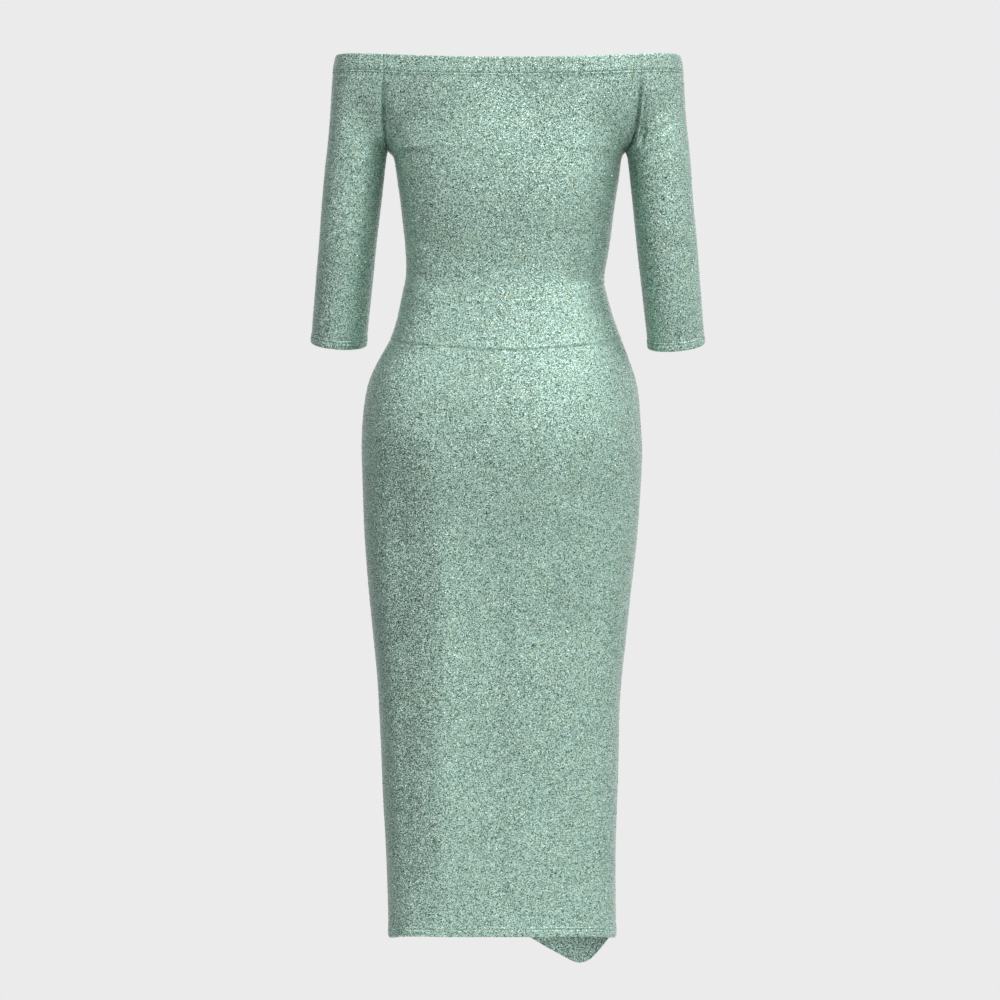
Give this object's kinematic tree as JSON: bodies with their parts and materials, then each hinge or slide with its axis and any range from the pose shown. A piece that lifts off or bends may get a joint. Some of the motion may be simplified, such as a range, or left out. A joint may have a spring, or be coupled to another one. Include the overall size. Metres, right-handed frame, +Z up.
{
  "type": "off-shoulder midi dress",
  "caption": "Fitted off-shoulder midi dress in glitter knit with three-quarter sleeves, a shaped waist panel and a side slit at the hem, filled out as when worn.",
  "frame": {"origin": "middle of the neckline, inside the casing that the shoulders hold", "axes": "+Z up along the dress, +X towards the wearer's right, +Y towards the wearer's front, so the back faces -Y"},
  "size_m": [0.4955, 0.2495, 1.1411],
  "materials": {
    "glitter_knit": "stretch knit covered in fine glitter",
    "thread": "matt sewing thread"
  },
  "bodies": {
    "root": {"back_bodice": "glitter_knit", "front_bodice": "glitter_knit", "sleeve_left": "glitter_knit", "sleeve_right": "glitter_knit", "back_waist_panel": "glitter_knit", "front_waist_panel": "glitter_knit", "back_skirt": "glitter_knit", "front_skirt": "glitter_knit"}
  },
  "joints": []
}
